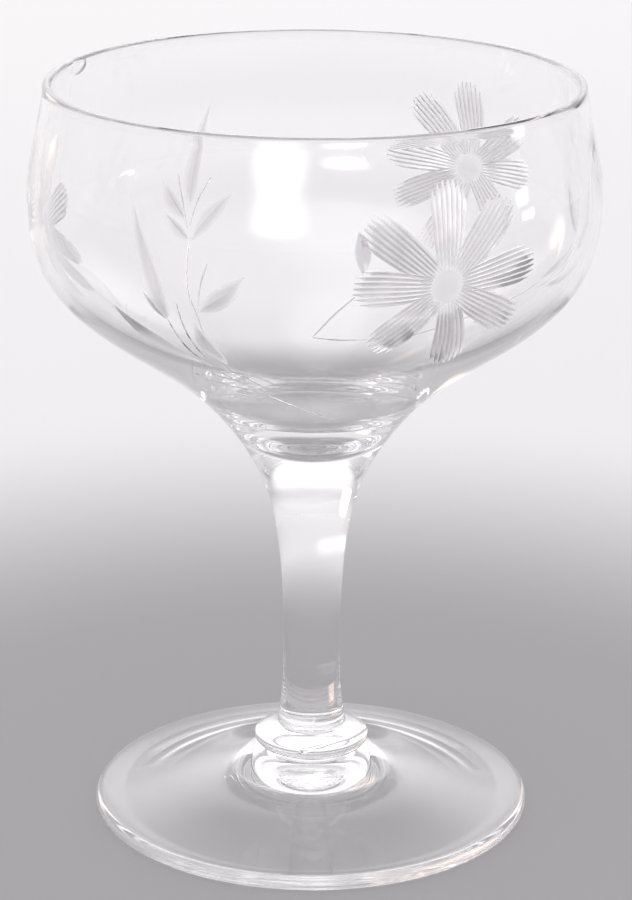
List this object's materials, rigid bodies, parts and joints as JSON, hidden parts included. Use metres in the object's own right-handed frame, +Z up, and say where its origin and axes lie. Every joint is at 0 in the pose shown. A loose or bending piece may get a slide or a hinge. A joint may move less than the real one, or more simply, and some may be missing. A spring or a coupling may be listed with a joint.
{
  "type": "sherbet glass",
  "caption": "Footed clear sherbet glass: a round-bellied bowl with cut flowers and leaf sprays, on a slim drawn stem, a collar and a wide spread foot.",
  "frame": {"origin": "on the table, under the middle of the foot", "axes": "+Z up the stem, along the axis that the glass is round about; -Y faces the viewer of the picture"},
  "size_m": [0.0918, 0.0918, 0.124],
  "materials": {
    "clear_glass": "fire-polished clear glass"
  },
  "bodies": {
    "root": {"bowl": "clear_glass", "stem": "clear_glass", "foot_collar": "clear_glass", "foot": "clear_glass"}
  },
  "joints": []
}
